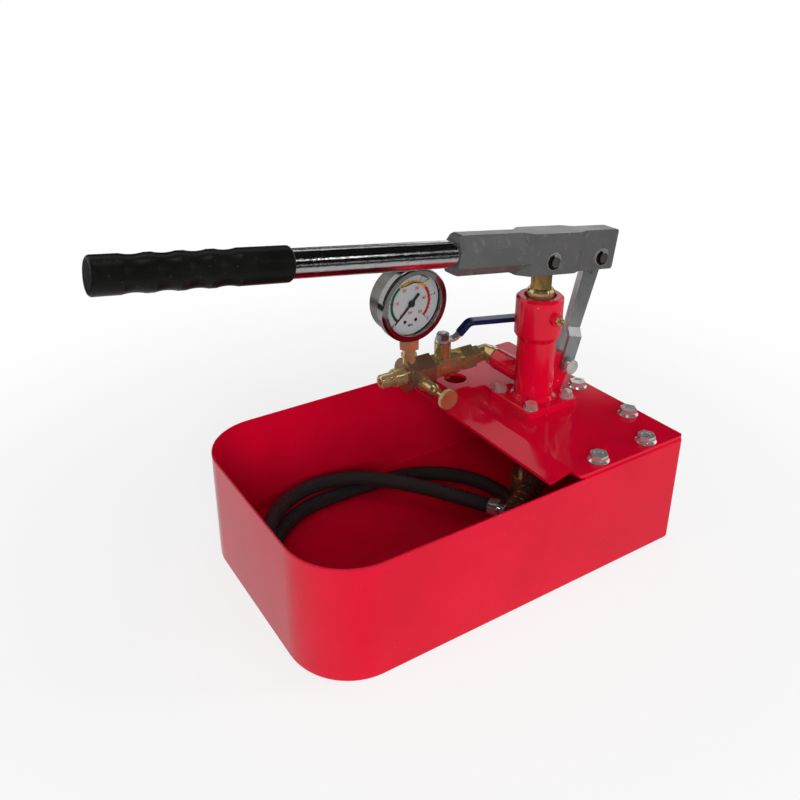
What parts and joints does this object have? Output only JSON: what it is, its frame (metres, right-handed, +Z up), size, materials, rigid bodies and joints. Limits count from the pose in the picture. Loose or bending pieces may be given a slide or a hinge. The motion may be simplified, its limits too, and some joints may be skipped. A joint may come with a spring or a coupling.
{
  "type": "hydrostatic test pump",
  "caption": "Hand-lever pressure test pump on an open red tank, with a brass valve line, a dial gauge and a braided hose coiled in the tank.",
  "frame": {"origin": "centre of the tank's flat bottom", "axes": "+X along the tank towards the pump end, +Y across it towards the valve side, +Z up"},
  "size_m": [0.4573, 0.23, 0.3153],
  "materials": {
    "red_paint": "gloss",
    "zinc_steel": "satin",
    "gasket": "matt",
    "packing": "matt",
    "brass": "satin",
    "dark_brass": "satin",
    "black_steel": "satin",
    "cast_aluminium": "satin",
    "chrome": "polished",
    "grip_rubber": "satin",
    "hose_rubber": "matt",
    "blue_vinyl": "gloss",
    "stainless": "polished",
    "clear_window": "clear",
    "dial_white": "matt",
    "seat_white": "satin"
  },
  "bodies": {
    "pump": {"tank": "red_paint", "cover_plate": "red_paint", "cover_bolts": "zinc_steel", "foot_gasket": "gasket", "pump_body": "red_paint", "foot_bolts": "zinc_steel", "foot_washers": "zinc_steel", "gland_packing": "packing", "gland_nut": "brass", "grease_nipple": "brass", "fulcrum_pin": "zinc_steel", "fulcrum_clip": "black_steel", "inlet_body": "brass", "inlet_cage": "brass", "suction_pipe": "zinc_steel", "suction_strainer": "brass", "port_seal_ring": "gasket", "outlet_elbow": "brass", "union_nut": "brass", "valve_barrel": "brass", "valve_insert": "brass", "valve_seats": "seat_white", "manifold_block": "brass", "outlet_nipple": "brass", "bleed_body": "brass", "gauge_stem": "brass", "gauge_case": "stainless", "gauge_bezel": "stainless", "gauge_lens": "clear_window", "gauge_dial": "dial_white", "gauge_movement": "brass", "gauge_pressure_tube": "brass", "hose_tube": "hose_rubber", "hose_ferrule_raised": "dark_brass", "hose_ferrule_low": "zinc_steel", "hose_tails": "zinc_steel"},
    "link": {"link_strip_near": "zinc_steel", "link_strip_far": "zinc_steel"},
    "lever": {"lever_head": "cast_aluminium", "lever_tube": "chrome", "lever_grip": "grip_rubber", "piston_pin": "zinc_steel", "link_pin": "zinc_steel", "pin_washers": "zinc_steel", "pin_clips": "black_steel"},
    "piston": {"piston_rod": "brass", "piston": "brass", "piston_seal": "gasket"},
    "valve": {"valve_ball": "chrome", "valve_stem": "brass", "valve_handle": "zinc_steel", "handle_sleeve": "blue_vinyl", "stem_nut": "zinc_steel"},
    "bleed_screw": {"bleed_stem": "brass", "bleed_knob": "brass"},
    "pointer": {"gauge_pointer": "black_steel"},
    "inlet_check": {"inlet_ball": "chrome"},
    "outlet_check": {"outlet_ball": "chrome"},
    "raised_nut": {"hose_nut_raised": "dark_brass"},
    "low_nut": {"hose_nut_low": "zinc_steel"}
  },
  "joints": [
    {"name": "link_swing", "type": "hinge", "parent": "pump", "child": "link", "pos_m": [0.14, 0, 0.138], "axis": [0, 1, 0], "range_deg": [-5.3, 2]},
    {"name": "lever_swing", "type": "hinge", "parent": "link", "child": "lever", "pos_m": [0.16798, 0, 0.2371], "axis": [0, 1, 0], "range_deg": [-12.9, 35.19]},
    {"name": "piston_stroke", "type": "slide", "parent": "pump", "child": "piston", "axis": [0, 0, 1], "range_m": [-0.0118, 0.0321]},
    {"name": "valve_turn", "type": "hinge", "parent": "pump", "child": "valve", "pos_m": [0.056, 0.07, 0.15], "axis": [0, 0, 1], "range_deg": [0, 90]},
    {"name": "bleed_turn", "type": "hinge", "parent": "pump", "child": "bleed_screw", "pos_m": [0.0226, 0.02, 0.1255], "axis": [0, -1, 0], "range_deg": [0, 540]},
    {"name": "pointer_turn", "type": "hinge", "parent": "pump", "child": "pointer", "pos_m": [0.018, 0.068, 0.1995], "axis": [0, 1, 0], "range_deg": [0, 270], "stiffness_Nm_per_rad": 0.0003, "springref_deg": -17.19},
    {"name": "inlet_lift", "type": "slide", "parent": "pump", "child": "inlet_check", "axis": [0, 0, 1], "range_m": [0, 0.0029]},
    {"name": "outlet_lift", "type": "slide", "parent": "pump", "child": "outlet_check", "axis": [0, 1, 0], "range_m": [0, 0.0035]},
    {"name": "raised_nut_spin", "type": "hinge", "parent": "pump", "child": "raised_nut", "pos_m": [0.0618, -0.0479, 0.0469], "axis": [0.9015, 0.3843, 0.1992], "continuous": true},
    {"name": "low_nut_spin", "type": "hinge", "parent": "pump", "child": "low_nut", "pos_m": [0.05, -0.0285, 0.0262], "axis": [0.4623, -0.8862, 0.0308], "continuous": true}
  ],
  "couplings": [
    {"joint": "link_swing", "follows": "lever_swing", "ratio": -0.1475},
    {"joint": "piston_stroke", "follows": "lever_swing", "m_per_rad": 0.052}
  ]
}
